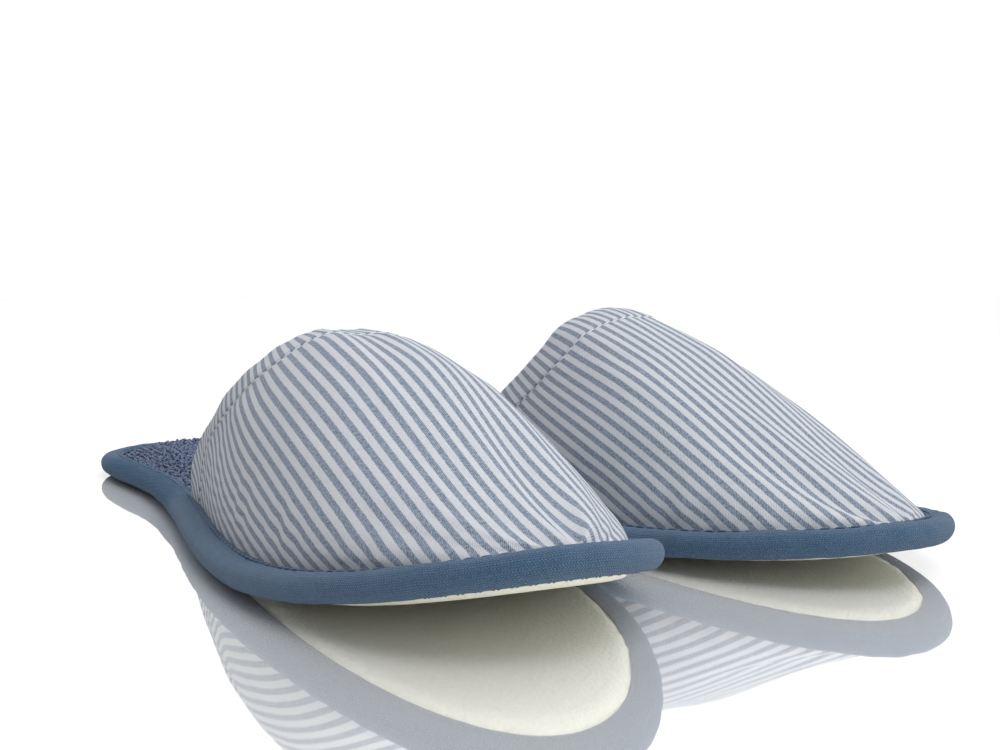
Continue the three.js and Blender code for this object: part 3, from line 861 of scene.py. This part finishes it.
def band_stitches(side):
    share = np.linspace(-1, 1, BAND_LINE_POINTS)
    along = opening_along(side, share) + BAND_WIDTH + BAND_STITCH_BEYOND
    line = arch_points(side, along, share, -BAND_STITCH_PROUD, wrinkled=True)
    distance = distance_along(line) / MM
    at = stitch_stops(distance[-1], BAND_STITCH_LENGTH, BAND_STITCH_GAP, BAND_STITCH_POINTS)
    path = np.stack([np.interp(at, distance, line[:, axis]) for axis in range(3)], -1)
    radius = BAND_THREAD_RADIUS * MM
    piece = many_tubes(f"{side}_band_stitches", path, radius, BAND_STITCH_CORNERS)
    finished(piece, side, WHITE_THREAD, "white_thread", ["band_thread"])


# ---------------------------------------------------------------- the pair

for side in SIDES:
    outsole(side)
    terry_insole(side)
    panel = flat_cloth(side)
    upper_fabric(side, panel)
    upper_lining(side, panel)
    opening_band(side, panel)
    band_stitches(side)
    binding_tape(side)
    tape_stitches(side, "needle_stitches", NEEDLE_HEIGHT, "binding_needle_thread")
    tape_stitches(side, "bobbin_stitches", BOBBIN_HEIGHT, "binding_bobbin_thread")
    for node in ("midsole_foam", "insole_sponge"):
        materials = frame["nodes"][f"{side}_{node}"].data.materials
        materials.clear()
        materials.append(FOAM)


# ---------------------------------------------------------------- stage, light and camera

def floor():
    """White acrylic: three quarters of what it shows is a clear mirror image."""
    bpy.ops.mesh.primitive_plane_add(size=FLOOR_SIZE, location=(0, 0, 0))
    plane = bpy.context.object
    plane.name = "studio_floor"
    material = bpy.data.materials.new("white_acrylic")
    material.use_nodes = True
    tree = material.node_tree
    tree.nodes.clear()
    white = tree.nodes.new("ShaderNodeBsdfDiffuse")
    white.inputs["Color"].default_value = (FLOOR_WHITE, FLOOR_WHITE, FLOOR_WHITE, 1)
    mirror = tree.nodes.new("ShaderNodeBsdfGlossy")
    mirror.inputs["Color"].default_value = (1, 1, 1, 1)
    mirror.inputs["Roughness"].default_value = FLOOR_MIRROR_ROUGHNESS
    both = tree.nodes.new("ShaderNodeMixShader")
    both.inputs[0].default_value = FLOOR_MIRROR_SHARE
    output = tree.nodes.new("ShaderNodeOutputMaterial")
    tree.links.new(white.outputs[0], both.inputs[1])
    tree.links.new(mirror.outputs[0], both.inputs[2])
    tree.links.new(both.outputs[0], output.inputs["Surface"])
    plane.data.materials.append(material)


def world():
    """White all round, but dimmer towards the side wall on the left of the camera."""
    sky = bpy.data.worlds.new("soft_white")
    sky.use_nodes = True
    tree = sky.node_tree
    place = tree.nodes.new("ShaderNodeTexCoord")
    split = tree.nodes.new("ShaderNodeSeparateXYZ")
    tree.links.new(place.outputs["Generated"], split.inputs[0])
    ramp = tree.nodes.new("ShaderNodeMapRange")
    ramp.inputs["From Min"].default_value, ramp.inputs["To Min"].default_value = WORLD_DIM_SIDE
    ramp.inputs["From Max"].default_value, ramp.inputs["To Max"].default_value = WORLD_BRIGHT_SIDE
    tree.links.new(split.outputs[0], ramp.inputs["Value"])
    background = tree.nodes["Background"]
    tree.links.new(ramp.outputs["Result"], background.inputs["Strength"])
    background.inputs["Color"].default_value = (1, 1, 1, 1)
    bpy.context.scene.world = sky


def soft_light(name, place, size, watts):
    data = bpy.data.lights.new(name, "AREA")
    data.shape = "DISK"
    data.size = size
    data.energy = watts
    lamp = linked(name, data)
    lamp.location = place
    lamp.rotation_euler = (Vector(LAMP_AIM) - Vector(place)).to_track_quat("-Z", "Y").to_euler()


def camera():
    data = bpy.data.cameras.new("camera")
    data.sensor_width = CAMERA_SENSOR
    data.lens = CAMERA_LENS
    eye = linked("camera", data)
    heel = heel_end("right")
    eye.location = (heel.x + CAMERA_FROM_HEEL[0], heel.y + CAMERA_FROM_HEEL[1], CAMERA_HEIGHT)
    eye.rotation_euler = (math.radians(90 - CAMERA_DOWN), 0, math.radians(CAMERA_HEADING))
    bpy.context.scene.camera = eye


floor()
world()
soft_light("top_softbox", place=(0.1, -0.45, 0.85), size=0.7, watts=6.0)
camera()
bpy.context.scene.view_settings.view_transform = "Standard"
